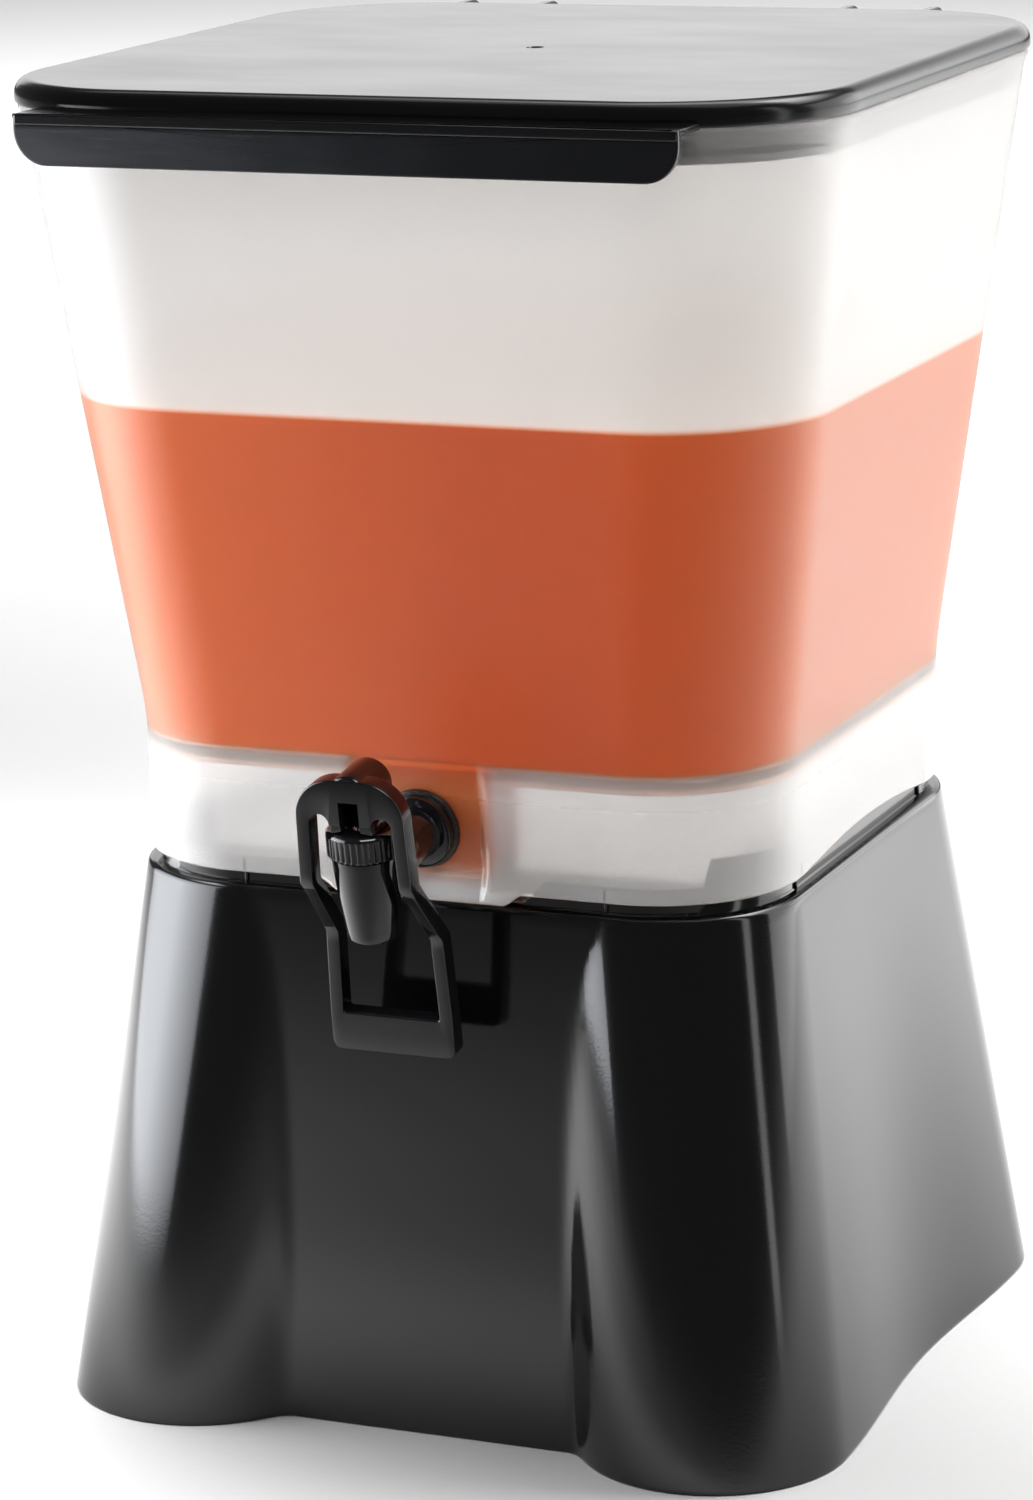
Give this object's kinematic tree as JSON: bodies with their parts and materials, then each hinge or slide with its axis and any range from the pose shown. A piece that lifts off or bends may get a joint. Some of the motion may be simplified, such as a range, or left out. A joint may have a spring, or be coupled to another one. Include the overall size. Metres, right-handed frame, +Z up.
{
  "type": "beverage dispenser",
  "caption": "Countertop drink dispenser: black flared stand, lift-off translucent tapered tank, hinged lid with grip lip, and a push-handle faucet at the front.",
  "frame": {"origin": "on the floor, below the middle of the whole object's box", "axes": "+Z up, -Y out of the front where the faucet is, +X to the object's left side as seen by the faucet, right as seen from the front"},
  "size_m": [0.28, 0.3237, 0.438],
  "materials": {
    "stand_black": "satin moulded polypropylene",
    "lid_black": "glossy moulded polypropylene",
    "tank_clear": "translucent natural polypropylene",
    "faucet_black": "glossy moulded ABS",
    "rubber": "moulded",
    "silicone": "moulded",
    "steel": "drawn stainless"
  },
  "bodies": {
    "stand": {"base_stand": "stand_black"},
    "tank": {"tank": "tank_clear", "faucet_body": "faucet_black", "outer_washer": "rubber", "inner_washer": "rubber", "shank_nut": "faucet_black", "bonnet": "faucet_black", "thrust_washer": "steel", "stem_seal": "silicone", "return_spring": "steel"},
    "lid": {"lid": "lid_black", "hinge_pin_left": "steel", "hinge_pin_right": "steel"},
    "stem": {"valve_stem": "faucet_black", "valve_plug": "silicone"},
    "handle": {"faucet_handle": "faucet_black", "handle_pin": "steel"}
  },
  "joints": [
    {"name": "tank_lift", "type": "slide", "parent": "stand", "child": "tank", "axis": [0, 0, 1], "range_m": [0, 0.06]},
    {"name": "lid_hinge", "type": "hinge", "parent": "tank", "child": "lid", "pos_m": [0, 0.15536, 0.431], "axis": [-1, 0, 0], "range_deg": [0, 105]},
    {"name": "stem_lift", "type": "slide", "parent": "tank", "child": "stem", "axis": [0, -0.1325, 0.9912], "range_m": [0, 0.0021], "deforming": ["return_spring"]},
    {"name": "handle_tilt", "type": "hinge", "parent": "stem", "child": "handle", "pos_m": [0, -0.15025, 0.22224], "axis": [1, 0, 0], "range_deg": [0, 9], "stiffness_Nm_per_rad": 0.3, "springref_deg": -8.59}
  ],
  "couplings": [
    {"joint": "stem_lift", "follows": "handle_tilt", "m_per_rad": 0.0125}
  ]
}
